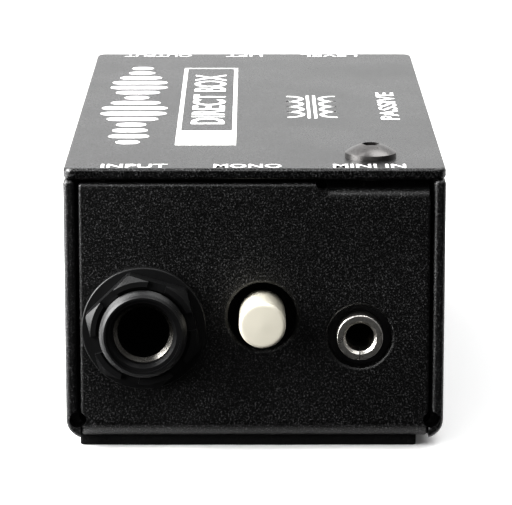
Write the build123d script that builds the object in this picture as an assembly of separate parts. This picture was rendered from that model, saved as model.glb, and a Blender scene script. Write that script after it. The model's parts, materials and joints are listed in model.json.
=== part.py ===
from build123d import *
import os

# Compact direct injection box, millimetres. +X is right, +Y runs from the front panel to the rear
# panel, +Z is up. The origin is the centre of the case on the surface that the base pad rests on.

# Folded steel case
case_length = 92.2
case_width = 47.75
case_height = 34.9          # tray underside to cover top
sheet = 1.5
cover_thickness = 1.45
bend_radius = 2.5           # outside of every fold
seam_gap = 0.35             # end panel edge to side wall
edge_round = 0.45
wall_edge_round = 0.6
rim_round = 0.5
tab_bend_radius = 1.1       # outside of the sharp folds at the top of the end panels
cover_edge_round = 0.45
cover_corner_radius = 1.3
panel_gap = 0.45            # end panel top to cover
tab_gap = 1.15              # bent tab top to cover
relief_radius = 1.05
relief_height = 2.5         # tray underside to the middle of a corner relief
notch_width = 1.8
notch_depth = 0.85
notch_overlap = 0.3         # notch into the end of a tab
front_tab_width = 12.675
front_tab_depth = 14.0
front_tab_margin = 0.25     # tab end to panel edge
rear_tab_half_width = 10.0
rear_tab_depth = 7.0

# Rubber base pad
pad_thickness = 1.4
pad_left_margin = 1.6       # case side to pad side
pad_right_margin = 3.275
pad_inset = 2.2
pad_corner_radius = 0.4

# Clearances
thread_clearance = 0.05
press_clearance = 0.02
panel_clearance = 0.15
hole_clearance = 0.2
lead_clearance = 0.15
sliding_clearance = 0.06
running_clearance = 0.05
stop_clearance = 0.3

# Cover screw, the nut pressed in the front tab, and the hook at the rear
screw_from_tab_end = 7.075
screw_from_front = 8.0
screw_radius = 1.75
screw_length = 7.2
screw_head_radius = 3.25
screw_head_rim = 0.6
screw_head_height = 1.8
screw_socket_flats = 2.0
screw_socket_depth = 1.1
nut_collar_radius = 2.75
nut_flange_radius = 3.9
nut_flange_height = 2.4
hook_sheet = 1.0
hook_half_width = 8.0
hook_plate_length = 7.0
hook_reach = 4.2
hook_gap = 0.3

# Printed circuit boards
board_thickness = 1.6
board_height = 5.1          # tray floor to board top
board_side_gap = 1.1
board_end_gap = 0.6
board_gap = 3.2
rear_board_length = 27.2
lead_radius = 0.4
lead_stub = 1.2             # lead length below the board
standoff_radius = 2.6
standoff_shank_radius = 2.1
board_screw_radius = 1.5
board_screw_length = 4.4
board_screw_head_radius = 2.7
board_screw_head_height = 1.7
board_screw_slot = 0.7
board_screw_from_edge = 3.2
board_screw_from_side = 3.675

# Quarter-inch jacks
jack_side_gap = 0.675       # jack body to side wall
jack_height = 14.6          # axis above the tray underside
plug_bore_radius = 3.25
bush_wall = 0.95
bush_length = 9.0
bush_mouth = 0.5            # chamfer where the plug enters
nose_radius = 5.5
nose_length = 4.8
nose_lip = 1.8
nose_lip_radius = 3.8
nose_mouth_wall = 0.4
nose_step_wall = 0.85
nose_edge = 0.3
nose_step_depth = 0.35
thread_pitch = 0.85
thread_depth = 0.3
jack_body_width = 15.6
jack_body_top = 8.0         # axis to body top
jack_body_length = 26.0
jack_wall = 1.2
jack_front_wall = 2.0
jack_washer_width = 2.35
jack_washer_thickness = 0.8
jack_washer_round = 0.2
jack_nut_wall = 2.05        # thread to corner
jack_nut_thickness = 2.4
jack_nut_turn = -16.0
jack_nut_slot_width = 2.3
jack_nut_slot_depth = 0.55
nut_crown_height = 0.55     # height of the turned-down corners
nut_crown_width = 0.95
nut_corner_round = 0.1
nut_mouth = 0.4             # chamfer round a nut's hole
leaf_thickness = 0.4
leaf_width = 3.0
leaf_inset = 0.6
leaf_contact_radius = 3.0   # jack axis to the bend that touches the plug
# Outline of each spring: share of the way to the plug, share of the cavity's depth
tip_leaf = ((0.0, 0.20), (0.0, 0.42), (1.0, 0.81), (0.55, 0.92))
ring_leaf = ((0.0, 0.16), (0.0, 0.31), (1.0, 0.57), (0.6, 0.68))
leaf_lead_share = 0.26      # lead, as a share of the cavity's depth
bush_lead_depth = 4.8

# Mini jack
mini_side_gap = 3.65        # mini jack body to side wall
mini_height = 13.4
mini_bore_radius = 1.8
ferrule_radius = 2.93
ferrule_length = 5.6
ferrule_proud = 0.75
ferrule_chamfer = 0.35
ferrule_round = 0.2
ferrule_seam = 0.1
mini_hole_radius = 4.0
mini_body_width = 11.0
mini_body_top = 4.8
mini_body_front = 2.0       # panel face to body front
mini_body_length = 13.0
mini_wall = 1.0
mini_channel_radius = 2.3
mini_leaf_width = 2.0

# Push switches
mono_x = 0.96
lift_x = -0.8
switch_height = 15.95
button_radius = 2.93
button_proud = 5.0
button_length = 7.6
button_round = 0.45
button_hole_radius = 4.3
button_travel = 3.0
plunger_size = 3.0
plunger_grip = 5.0
plunger_flange = 5.4
plunger_flange_thickness = 1.0
plunger_tail_radius = 1.1
plunger_tail_length = 3.2
switch_width = 9.0
switch_top = 4.2
switch_length = 12.0
switch_wall = 1.0
switch_cavity_half_height = 3.0
spring_radius = 1.9
spring_wire = 0.2
spring_turns = 7
switch_lead_pitch = 2.5
switch_lead_spread = 2.6
switch_lead_length = 2.0    # part of a lead inside the switch base

# Level control
level_side_gap = 4.975      # control body to side wall
level_height = 14.6
shaft_radius = 3.0
shaft_flat = 0.7
shaft_end = 12.2
bushing_wall = 0.5
bushing_length = 4.2
level_nut_corner_radius = 5.6
level_nut_thickness = 2.0
level_washer_radius = 5.4
level_washer_thickness = 0.5
level_body_width = 9.8
level_body_top = 5.4
level_body_length = 8.2
level_body_wall = 1.3
level_cavity_radius = 4.3
wiper_radius = 3.9
wiper_thickness = 0.8
track_inner_radius = 2.5
track_thickness = 0.3
track_opening = 2.6
level_lead_pitch = 2.5
level_lead_depth = 5.5
knob_radius = 6.0
knob_top_radius = 5.4
knob_start = 3.1
knob_end_wall = 2.3
knob_flutes = 18
knob_flute_radius = 0.55
knob_skirt = 1.6
knob_round = 0.5
pointer_width = 0.9
pointer_depth = 0.35
pointer_length = 3.6

# Transformer
transformer_from_side = 16.675
transformer_from_edge = 16.2    # transformer middle to the front board's rear edge
core_width = 26.0
core_height = 19.5
core_depth = 8.0
core_limb = 3.25
core_lift = 0.5
bobbin_wall = 0.8
bobbin_half_depth = 9.8
winding_inset = 0.7
bracket_sheet = 0.6
bracket_foot = 2.2
transformer_lead_pitch = 4.0
transformer_lead_inset = 2.4

# Small parts on the boards
resistor_radius = 1.1
resistor_length = 5.4
resistor_reach = 8.0        # lead to lead
resistor_count = 4
resistor_pitch = 3.2
small_parts_from_side = 4.875
resistor_from_front = 30.6
capacitor_width = 7.2
capacitor_depth = 3.4
capacitor_height = 7.5
capacitor_count = 2
capacitor_pitch = 4.6
capacitor_from_front = 45.0
capacitor_lead_reach = 5.0
wire_radius = 0.6
wire_count = 5
wire_pitch = 2.6
wire_rise = 2.4
wire_from_edge = 2.0

# Levels and places that follow from the sizes above
FRONT = -1
REAR = 1
half_length = case_length / 2
half_width = case_width / 2
tray_underside = pad_thickness
floor_top = tray_underside + sheet
cover_top = tray_underside + case_height
cover_underside = cover_top - cover_thickness
tab_top = cover_underside - tab_gap
wall_inside = half_width - sheet
panel_half = wall_inside - seam_gap
front_tab_end = panel_half - front_tab_margin
front_tab_start = front_tab_end - front_tab_width
screw_x = front_tab_end - screw_from_tab_end
screw_y = -half_length + screw_from_front
board_top = floor_top + board_height
board_underside = board_top - board_thickness
lead_bottom = board_underside - lead_stub
board_half = wall_inside - board_side_gap
board_end = half_length - sheet - board_end_gap
rear_board_edge = board_end - rear_board_length
front_board_edge = rear_board_edge - board_gap
board_screw_x = board_half - board_screw_from_side
small_parts_x = -board_half + small_parts_from_side
board_screw_y = front_board_edge - board_screw_from_edge
jack_z = tray_underside + jack_height
mini_z = tray_underside + mini_height
switch_z = tray_underside + switch_height
level_z = tray_underside + level_height
jack_x = -wall_inside + jack_side_gap + jack_body_width / 2
mini_x = wall_inside - mini_side_gap - mini_body_width / 2
level_x = wall_inside - level_side_gap - level_body_width / 2
bush_radius = plug_bore_radius + bush_wall
nose_mouth_radius = nose_lip_radius + nose_mouth_wall
nose_step_radius = nose_radius - nose_step_wall
jack_washer_radius = nose_radius + jack_washer_width
jack_nut_corner_radius = nose_radius + jack_nut_wall
jack_cavity_front = sheet + jack_front_wall
jack_cavity_back = sheet + jack_body_length - jack_wall
jack_cavity_length = jack_cavity_back - jack_cavity_front
leaf_place = jack_body_width / 2 - jack_wall - leaf_inset
leaf_lead_depth = jack_cavity_front + leaf_lead_share * jack_cavity_length
switch_front = button_length - button_proud + button_travel + stop_clearance
bushing_radius = shaft_radius + running_clearance + bushing_wall
level_cavity_back = sheet + level_body_length - level_body_wall
shaft_inner_end = -level_cavity_back + track_thickness + stop_clearance
knob_top = shaft_end + knob_end_wall
knob_length = knob_top - knob_start
transformer_x = board_half - transformer_from_side
transformer_y = front_board_edge - transformer_from_edge
capacitor_y = -half_length + capacitor_from_front
hook_riser = half_length - rear_tab_depth - hook_gap
UP = (Align.CENTER, Align.CENTER, Align.MIN)
RISE = (Align.CENTER, Align.MIN)


def block(x_range, y_range, z_range):
    """Box that fills three ranges."""
    spans = (x_range, y_range, z_range)
    middle = [(low + high) / 2 for low, high in spans]
    return Pos(*middle) * Box(*[high - low for low, high in spans])


def rod(radius, start, end, x=0.0, y=0.0):
    """Cylinder along local Z from start to end."""
    return Pos(x, y, start) * Cylinder(radius, end - start, align=UP)


def tube(outer_radius, inner_radius, start, end):
    """Hollow cylinder along local Z."""
    return rod(outer_radius, start, end) - rod(inner_radius, start, end)


def post(radius, x, y, low, high):
    """Upright cylinder in the case's own axes."""
    return Pos(x, y, low) * Cylinder(radius, high - low, align=UP)


def at_panel(side, x, z):
    """Place on the outer face of an end panel: local Z points out of the case and local Y points up."""
    return Plane(origin=(x, side * half_length, z), x_dir=(-side, 0, 0), z_dir=(0, side, 0)).location


def behind_panel(side, x, depth, across=0.0):
    """Plan position of something behind a panel, with across counted to the right as the panel is faced."""
    return (x - side * across, side * (half_length - depth))


def group(pieces):
    """Separate solids kept together in one node."""
    return Compound(children=list(pieces))


# ---------------------------------------------------------------- case

def channel_profile(width, height):
    """U section of folded sheet with its floor along the bottom."""
    outside = Rectangle(width, height, align=RISE)
    inside = Rectangle(width - 2 * sheet, height, align=RISE)
    outside = fillet(outside.vertices().group_by(Axis.Y)[0], bend_radius)
    inside = fillet(inside.vertices().group_by(Axis.Y)[0], bend_radius - sheet)
    return outside - Pos(0, sheet) * inside


def tab_profile(depth):
    """Section of an end panel's top folded inwards, with its outer corner at the local origin."""
    leg = 2 * bend_radius
    outside = Rectangle(depth, leg, align=(Align.MIN, Align.MAX))
    corner = outside.vertices().group_by(Axis.Y)[-1].sort_by(Axis.X)[0]
    outside = fillet(corner, tab_bend_radius)
    inside = Rectangle(depth, leg, align=(Align.MIN, Align.MAX))
    return outside - Pos(sheet, -sheet) * inside


def panel_tab(side, x_start, x_end, depth):
    """Folded tab at the top of an end panel."""
    section = Plane(origin=(x_start, side * half_length, tab_top), x_dir=(0, -side, 0), z_dir=(-side, 0, 0))
    width = x_end - x_start
    return extrude(section * tab_profile(depth), amount=width if side == FRONT else -width)


def tab_notch(side, x):
    """Round-bottomed relief beside a tab."""
    radius = notch_width / 2
    low = cover_underside - panel_gap - notch_depth + radius
    y_range = sorted((side * half_length, side * (half_length - sheet)))
    slot = block((x - radius, x + radius), y_range, (low, cover_underside))
    return slot + at_panel(side, x, low) * rod(radius, -sheet, 0)


def corner_reliefs():
    """Round reliefs punched where the folds meet at the four lower corners."""
    reliefs = []
    for side in (FRONT, REAR):
        for x in (-wall_inside, wall_inside):
            face = at_panel(side, x, tray_underside + relief_height)
            reliefs.append(face * rod(relief_radius, -bend_radius, edge_round))
    return reliefs


def panel_holes():
    """Cuts for everything that passes through the end panels."""
    jack_hole = nose_radius + panel_clearance
    level_hole = bushing_radius + panel_clearance
    places = (
        (FRONT, jack_x, jack_z, jack_hole),
        (FRONT, mono_x, switch_z, button_hole_radius),
        (FRONT, mini_x, mini_z, mini_hole_radius),
        (REAR, jack_x, jack_z, jack_hole),
        (REAR, lift_x, switch_z, button_hole_radius),
        (REAR, level_x, level_z, level_hole),
    )
    return [at_panel(side, x, z) * rod(radius, -bend_radius, sheet) for side, x, z, radius in places]


def open_hole_rims(tray):
    """Outer edges of the panel holes that no washer covers."""
    rims = []
    for edge in tray.edges().filter_by(GeomType.CIRCLE):
        outside = abs(abs(edge.center().Y) - half_length) < press_clearance
        if outside and edge.radius in (button_hole_radius, mini_hole_radius):
            rims.append(edge)
    return rims


def make_chassis_tray():
    wall_height = cover_underside - tray_underside
    panel_height = wall_height - panel_gap
    floor_plane = Plane(origin=(0, 0, tray_underside), x_dir=(1, 0, 0), z_dir=(0, -1, 0))
    sides = extrude(floor_plane * channel_profile(case_width, wall_height), amount=half_length, both=True)
    sides = fillet(sides.edges(), wall_edge_round)
    relief_middle = tray_underside + relief_height
    for side in (FRONT, REAR):
        strip = sorted((side * (half_length + sheet), side * (half_length - bend_radius)))
        sides -= block((-wall_inside, wall_inside), strip, (relief_middle, cover_top))
        sides -= block((-panel_half, panel_half), strip, (0, relief_middle))
    end_plane = Plane(origin=(0, 0, tray_underside), x_dir=(0, 1, 0), z_dir=(1, 0, 0))
    ends = extrude(end_plane * channel_profile(case_length, panel_height), amount=panel_half, both=True)
    ends = fillet(ends.edges(), edge_round)
    tray = sides + ends
    tab_low = tab_top - tab_bend_radius
    depth_range = sorted((-half_length - sheet, -half_length + 2 * bend_radius))
    tray -= block((front_tab_start, front_tab_end + front_tab_margin), depth_range, (tab_low, cover_top))
    tray += panel_tab(FRONT, front_tab_start, front_tab_end, front_tab_depth)
    notch_offset = notch_width / 2 - notch_overlap
    tray -= tab_notch(FRONT, front_tab_start - notch_offset)
    rear_range = sorted((half_length + sheet, half_length - 2 * bend_radius))
    tray -= block((-rear_tab_half_width, rear_tab_half_width), rear_range, (tab_low, cover_top))
    tray += panel_tab(REAR, -rear_tab_half_width, rear_tab_half_width, rear_tab_depth)
    for x in (-rear_tab_half_width - notch_offset, rear_tab_half_width + notch_offset):
        tray -= tab_notch(REAR, x)
    for cut in corner_reliefs() + panel_holes():
        tray -= cut
    tray = fillet(open_hole_rims(tray), rim_round)
    tray -= post(nut_collar_radius + press_clearance, screw_x, screw_y, tab_top - sheet, tab_top)
    for x in (-board_screw_x, board_screw_x):
        tray -= post(standoff_shank_radius + press_clearance, x, board_screw_y, tray_underside, floor_top)
    return tray


def make_top_cover():
    plate = block((-half_width, half_width), (-half_length, half_length), (cover_underside, cover_top))
    plate = fillet(plate.edges().filter_by(Axis.Z), cover_corner_radius)
    rims = plate.faces().filter_by(Plane.XY)
    plate = fillet([edge for face in rims for edge in face.edges()], cover_edge_round)
    hole = post(screw_radius + hole_clearance, screw_x, screw_y, cover_underside, cover_top)
    return plate - hole


def make_cover_hook():
    """Z section welded under the cover, with its tongue under the rear tab."""
    tongue_top = tab_top - sheet - hook_gap
    x_range = (-hook_half_width, hook_half_width)
    plate_start = hook_riser - hook_sheet - hook_plate_length
    plate = block(x_range, (plate_start, hook_riser), (cover_underside - hook_sheet, cover_underside))
    riser = block(x_range, (hook_riser - hook_sheet, hook_riser), (tongue_top - hook_sheet, cover_underside))
    tongue = block(x_range, (hook_riser - hook_sheet, hook_riser + hook_reach),
                   (tongue_top - hook_sheet, tongue_top))
    return plate + riser + tongue


def make_cover_screw():
    """Button-head screw with a hexagonal socket."""
    with BuildPart() as screw:
        with BuildSketch(Plane.XZ):
            with BuildLine():
                Line((0, 0), (screw_head_radius, 0))
                Line((screw_head_radius, 0), (screw_head_radius, screw_head_rim))
                crown = screw_head_rim + 0.75 * (screw_head_height - screw_head_rim)
                ThreePointArc((screw_head_radius, screw_head_rim), (screw_head_radius / 2, crown),
                              (0, screw_head_height))
                Line((0, screw_head_height), (0, 0))
            make_face()
        revolve(axis=Axis.Z)
    socket_floor = screw_head_height - screw_socket_depth
    across_corners = screw_socket_flats / 3 ** 0.5
    socket = Pos(0, 0, socket_floor) * extrude(RegularPolygon(across_corners, 6), amount=screw_head_height)
    shank = rod(screw_radius, -screw_length, 0)
    return Pos(screw_x, screw_y, cover_top) * (screw.part - socket + shank)


def make_cover_nut():
    """Threaded nut pressed into the front tab from below."""
    low = tab_top - sheet
    body = post(nut_flange_radius, screw_x, screw_y, low - nut_flange_height, low)
    body += post(nut_collar_radius, screw_x, screw_y, low, tab_top)
    hole = post(screw_radius + thread_clearance, screw_x, screw_y, low - nut_flange_height, tab_top)
    return body - hole


def make_base_pad():
    pad = block((-half_width + pad_left_margin, half_width - pad_right_margin),
                (-half_length + pad_inset, half_length - pad_inset), (0, pad_thickness))
    return fillet(pad.edges().filter_by(Axis.Z), pad_corner_radius)


# ---------------------------------------------------------------- quarter-inch jacks

def jack_lead_places(side, contacts):
    """Plan positions of a jack's leads, one for the sleeve and one for each spring contact."""
    places = [behind_panel(side, jack_x, bush_lead_depth)]
    places += [behind_panel(side, jack_x, leaf_lead_depth, across * leaf_place) for across in contacts]
    return places


def threaded_nose():
    """Nose of revolution with rings for its thread."""
    root = nose_radius - thread_depth
    points = [(0, -sheet), (root, -sheet)]
    height = -sheet
    while height + thread_pitch < nose_length:
        points.append((nose_radius, height + thread_pitch / 2))
        points.append((root, height + thread_pitch))
        height += thread_pitch
    points += [(root, nose_length - nose_edge), (root - nose_edge, nose_length), (0, nose_length)]
    face = make_face(Polyline(*points, close=True))
    return revolve(Plane.XZ * face, axis=Axis.Z)


def make_jack_housing(side, contacts):
    body_bottom = board_top - jack_z
    body = block((-jack_body_width / 2, jack_body_width / 2), (body_bottom, jack_body_top),
                 (-sheet - jack_body_length, -sheet))
    body = chamfer(body.edges().filter_by(Axis.Z), jack_wall / 2)
    inner_half = jack_body_width / 2 - jack_wall
    body -= block((-inner_half, inner_half), (body_bottom + jack_wall, jack_body_top - jack_wall),
                  (-jack_cavity_back, -jack_cavity_front))
    body += threaded_nose()
    lip_start = nose_length - nose_lip
    mouth_start = nose_length - nose_lip / 2
    step_start = nose_length - nose_step_depth
    body -= rod(bush_radius + press_clearance, -jack_cavity_front, lip_start)
    body -= rod(nose_lip_radius, lip_start, nose_length)
    mouth_depth = step_start - mouth_start
    body -= Pos(0, 0, mouth_start) * Cone(nose_lip_radius, nose_mouth_radius, mouth_depth, align=UP)
    body -= rod(nose_step_radius, step_start, nose_length)
    body = at_panel(side, jack_x, jack_z) * body
    for x, y in jack_lead_places(side, contacts):
        body -= post(lead_radius + lead_clearance, x, y, board_top, board_top + jack_wall)
    return body


def make_jack_washer(side):
    disc = rod(jack_washer_radius, 0, jack_washer_thickness)
    disc = fillet(disc.edges().group_by(Axis.Z)[-1], jack_washer_round)
    ring = disc - rod(nose_radius + panel_clearance, 0, jack_washer_thickness)
    return at_panel(side, jack_x, jack_z) * ring


def hex_nut(corner_radius, bore_radius, thickness, turn):
    """Hexagonal nut with its front corners turned down to a cone and a chamfered hole."""
    body = extrude(RegularPolygon(corner_radius, 6), amount=thickness)
    turned_radius = corner_radius - nut_corner_round
    shoulder = thickness - nut_crown_height
    crown = Cone(turned_radius, corner_radius - nut_crown_width, nut_crown_height, align=UP)
    turned = rod(turned_radius, 0, shoulder) + Pos(0, 0, shoulder) * crown
    mouth = Cone(bore_radius, bore_radius + nut_mouth, nut_mouth, align=UP)
    hole = rod(bore_radius, 0, thickness) + Pos(0, 0, thickness - nut_mouth) * mouth
    return Rot(0, 0, turn) * ((body & turned) - hole)


def make_jack_nut(side):
    nut = hex_nut(jack_nut_corner_radius, nose_radius + thread_clearance, jack_nut_thickness, 0)
    half = jack_nut_slot_width / 2
    for step in range(6):
        slot = block((0, jack_nut_corner_radius), (-half, half),
                     (jack_nut_thickness - jack_nut_slot_depth, jack_nut_thickness))
        nut -= Rot(0, 0, 60 * step + 30) * slot
    return at_panel(side, jack_x, jack_z) * Pos(0, 0, jack_washer_thickness) * Rot(0, 0, jack_nut_turn) * nut


def make_sleeve_bush(side):
    """Metal bush that the plug slides in, with its own lead."""
    front = nose_length - nose_lip
    bush = tube(bush_radius, plug_bore_radius, front - bush_length, front)
    mouth = bush.edges().group_by(Axis.Z)[-1].sort_by(SortBy.RADIUS)[0]
    bush = chamfer(mouth, bush_mouth)
    bush = at_panel(side, jack_x, jack_z) * bush
    x, y = behind_panel(side, jack_x, bush_lead_depth)
    lead_top = jack_z - plug_bore_radius - bush_wall / 2
    return bush + post(lead_radius, x, y, lead_bottom, lead_top)


def make_leaf_contact(side, across, outline):
    """Spring contact of strip bent towards the plug, with its lead."""
    reach = leaf_place - leaf_contact_radius
    points = []
    for inward, depth in outline:
        x = across * (leaf_place - inward * reach)
        points.append((x, -jack_cavity_front - depth * jack_cavity_length))
    strip = trace(Polyline(*points), line_width=leaf_thickness)
    level_plane = Plane(origin=(0, 0, 0), x_dir=(1, 0, 0), z_dir=(0, -1, 0))
    leaf = extrude(level_plane * strip, amount=leaf_width / 2, both=True)
    leaf = at_panel(side, jack_x, jack_z) * leaf
    x, y = behind_panel(side, jack_x, leaf_lead_depth, across * leaf_place)
    return leaf + post(lead_radius, x, y, lead_bottom, jack_z)


# ---------------------------------------------------------------- mini jack

def mini_lead_places():
    """Plan positions of the mini jack's leads: sleeve, tip and ring."""
    inner_half = mini_body_width / 2 - mini_wall - leaf_inset
    deep = mini_body_front + mini_body_length - 2.5 * mini_wall
    return [
        behind_panel(FRONT, mini_x, mini_body_front + 2.2 * mini_wall),
        behind_panel(FRONT, mini_x, deep, inner_half),
        behind_panel(FRONT, mini_x, deep, -inner_half),
    ]


def make_mini_jack_housing():
    half = mini_body_width / 2
    bottom = board_top - mini_z
    back = -mini_body_front - mini_body_length
    body = block((-half, half), (bottom, mini_body_top), (back, -mini_body_front))
    body = chamfer(body.edges().filter_by(Axis.Z), mini_wall / 2)
    ferrule_back = ferrule_proud - ferrule_length
    body -= block((mini_wall - half, half - mini_wall), (-mini_channel_radius, mini_channel_radius),
                  (back + mini_wall, ferrule_back))
    body -= rod(ferrule_radius + press_clearance, ferrule_back, -mini_body_front)
    body = at_panel(FRONT, mini_x, mini_z) * body
    for x, y in mini_lead_places():
        body -= post(lead_radius + lead_clearance, x, y, board_top, mini_z)
    return body


def make_mini_ferrule():
    """Rolled metal sleeve with a chamfered mouth, a seam underneath and its own lead."""
    body = tube(ferrule_radius, mini_bore_radius, ferrule_proud - ferrule_length, ferrule_proud)
    mouth = body.edges().group_by(Axis.Z)[-1].sort_by(SortBy.RADIUS)[0]
    body = chamfer(mouth, ferrule_chamfer)
    rim = body.edges().group_by(Axis.Z)[-1].sort_by(SortBy.RADIUS)[-1]
    body = fillet(rim, ferrule_round)
    body -= block((-ferrule_seam / 2, ferrule_seam / 2), (-ferrule_radius - ferrule_seam, 0),
                  (-mini_body_front, ferrule_proud))
    body = at_panel(FRONT, mini_x, mini_z) * body
    x, y = mini_lead_places()[0]
    lead_top = mini_z - (mini_bore_radius + ferrule_radius) / 2
    return body + post(lead_radius, x, y, lead_bottom, lead_top)


def make_mini_contact(across, place):
    """Short spring contact of the mini jack."""
    x, y = place
    inward = mini_body_width / 2 - mini_wall - leaf_inset - mini_bore_radius
    reach = mini_body_length / 4
    path = Polyline((x, y), (x, y - reach / 2), (x - across * inward, y - 1.5 * reach))
    strip = trace(path, line_width=leaf_thickness)
    leaf = Pos(0, 0, mini_z) * extrude(strip, amount=mini_leaf_width / 2, both=True)
    return leaf + post(lead_radius, x, y, lead_bottom, mini_z)


def make_mini_contacts():
    sleeve, tip, ring = mini_lead_places()
    return group((make_mini_contact(1, tip), make_mini_contact(-1, ring)))


# ---------------------------------------------------------------- push switches

def switch_lead_places(side, x):
    """Plan positions of the six leads in two rows."""
    middle = switch_front + switch_length / 2
    places = []
    for across in (-switch_lead_spread, switch_lead_spread):
        for step in (-1, 0, 1):
            places.append(behind_panel(side, x, middle + step * switch_lead_pitch, across))
    return places


def make_switch_housing(side, x):
    back = -switch_front - switch_length
    bottom = board_top - switch_z
    body = block((-switch_width / 2, switch_width / 2), (bottom, switch_top), (back, -switch_front))
    body = chamfer(body.edges().filter_by(Axis.Z), switch_wall / 2)
    inner_half = switch_width / 2 - switch_wall
    body -= block((-inner_half, inner_half), (-switch_cavity_half_height, switch_cavity_half_height),
                  (back + switch_wall, -switch_front - switch_wall))
    hole_half = plunger_size / 2 + sliding_clearance
    hole = (-hole_half, hole_half)
    body -= block(hole, hole, (-switch_front - switch_wall, -switch_front))
    body = at_panel(side, x, switch_z) * body
    for lead_x, lead_y in switch_lead_places(side, x):
        body -= post(lead_radius + press_clearance, lead_x, lead_y, board_top, board_top + switch_lead_length)
    return body


def make_switch_leads(side, x):
    places = switch_lead_places(side, x)
    return group(post(lead_radius, px, py, lead_bottom, board_top + switch_lead_length) for px, py in places)


def make_button_cap(side, x):
    """Round cap, blind bored for the plunger."""
    back = button_proud - button_length
    cap = rod(button_radius, back, button_proud)
    cap = fillet(cap.edges().group_by(Axis.Z)[-1], button_round)
    grip_half = plunger_size / 2 + press_clearance
    cap -= block((-grip_half, grip_half), (-grip_half, grip_half), (back, back + plunger_grip))
    return at_panel(side, x, switch_z) * cap


def make_plunger(side, x):
    """Square plunger with the flange that holds it in the switch and a tail inside the spring."""
    half = plunger_size / 2
    front = button_proud - button_length + plunger_grip - press_clearance
    flange_front = -switch_front - switch_wall - press_clearance
    flange_back = flange_front - plunger_flange_thickness
    body = block((-half, half), (-half, half), (flange_front, front))
    flange_half = plunger_flange / 2
    body += block((-flange_half, flange_half), (-flange_half, flange_half), (flange_back, flange_front))
    body += rod(plunger_tail_radius, flange_back - plunger_tail_length, flange_back)
    return at_panel(side, x, switch_z) * body


def make_return_spring(side, x):
    """Coil between the plunger's flange and the back of the switch."""
    end_gap = spring_wire + press_clearance
    flange_back = switch_front + switch_wall + press_clearance + plunger_flange_thickness
    start = -(switch_front + switch_length - switch_wall) + end_gap
    length = -flange_back - end_gap - start
    helix = Pos(0, 0, start) * Helix(pitch=length / spring_turns, height=length, radius=spring_radius)
    wire = sweep(Plane(helix @ 0, z_dir=helix % 0) * Circle(spring_wire), path=helix, is_frenet=True)
    return at_panel(side, x, switch_z) * wire


# ---------------------------------------------------------------- level control

def level_lead_places():
    steps = (-level_lead_pitch, 0, level_lead_pitch)
    return [behind_panel(REAR, level_x, level_lead_depth, step) for step in steps]


def make_level_body():
    bottom = board_top - level_z
    half = level_body_width / 2
    body = block((-half, half), (bottom, level_body_top), (-sheet - level_body_length, -sheet))
    body = chamfer(body.edges().filter_by(Axis.Z), level_body_wall / 2)
    body -= rod(level_cavity_radius, -level_cavity_back, -sheet - level_body_wall)
    body -= rod(bushing_radius + press_clearance, -sheet - level_body_wall, -sheet)
    body = at_panel(REAR, level_x, level_z) * body
    for x, y in level_lead_places():
        body -= post(lead_radius + press_clearance, x, y, board_top, board_top + level_body_wall)
    return body


def make_level_bushing():
    ring = tube(bushing_radius, shaft_radius + running_clearance, -sheet - level_body_wall, bushing_length)
    return at_panel(REAR, level_x, level_z) * ring


def make_level_washer():
    ring = tube(level_washer_radius, bushing_radius + panel_clearance, 0, level_washer_thickness)
    return at_panel(REAR, level_x, level_z) * ring


def make_level_nut():
    nut = hex_nut(level_nut_corner_radius, bushing_radius + thread_clearance, level_nut_thickness, 0)
    return at_panel(REAR, level_x, level_z) * Pos(0, 0, level_washer_thickness) * nut


def make_level_leads():
    places = level_lead_places()
    return group(post(lead_radius, x, y, lead_bottom, board_top + level_body_wall) for x, y in places)


def make_level_track():
    """Resistive track on the back wall, open at the bottom."""
    back = -level_cavity_back
    ring = tube(level_cavity_radius - press_clearance, track_inner_radius, back, back + track_thickness)
    half = track_opening / 2
    ring -= block((-half, half), (-level_cavity_radius, 0), (back, back + track_thickness))
    return at_panel(REAR, level_x, level_z) * ring


def shaft_section(clearance):
    """Round shaft section with a flat on top."""
    flat = shaft_radius - shaft_flat + clearance
    keep = Pos(0, flat) * Rectangle(2 * knob_radius, 2 * knob_radius, align=(Align.CENTER, Align.MAX))
    return Circle(shaft_radius + clearance) & keep


def make_level_shaft():
    """Shaft, round in its bushing and flatted where the knob grips it."""
    grip = Pos(0, 0, bushing_length) * extrude(shaft_section(0), amount=shaft_end - bushing_length)
    shoulder = shaft_inner_end + wiper_thickness
    body = grip + rod(shaft_radius, shoulder, bushing_length)
    body += rod(shaft_radius / 2, shaft_inner_end, shoulder)
    return at_panel(REAR, level_x, level_z) * body


def make_level_wiper():
    """Disc on the end of the shaft that carries the moving contact."""
    end = shaft_inner_end + wiper_thickness
    disc = tube(wiper_radius, shaft_radius / 2 + press_clearance, shaft_inner_end, end)
    return at_panel(REAR, level_x, level_z) * disc


def pointer_groove(margin):
    """Slot across the knob's face for the pointer line."""
    half = pointer_width / 2 + margin
    return block((-half, half), (knob_top_radius - pointer_length - margin, 2 * knob_radius),
                 (knob_top - pointer_depth - margin, knob_top))


def knob_blank():
    """Tapered body of the knob before its cuts."""
    body = Pos(0, 0, knob_start) * Cone(knob_radius, knob_top_radius, knob_length, align=UP)
    return fillet(body.edges().group_by(Axis.Z)[-1], knob_round)


def make_level_knob():
    """Fluted knob, bored for the flatted shaft and relieved round the bushing."""
    body = knob_blank()
    for step in range(knob_flutes):
        angle = 360 / knob_flutes * (step + 0.5)
        place = knob_radius + knob_flute_radius / 3
        flute = rod(knob_flute_radius, knob_start + knob_skirt, knob_top, x=place)
        body -= Rot(0, 0, angle) * flute
    body -= rod(bushing_radius + stop_clearance, knob_start, bushing_length + stop_clearance)
    bore = extrude(shaft_section(press_clearance), amount=shaft_end - bushing_length)
    body -= Pos(0, 0, bushing_length) * bore
    body -= pointer_groove(press_clearance)
    return at_panel(REAR, level_x, level_z) * body


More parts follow.
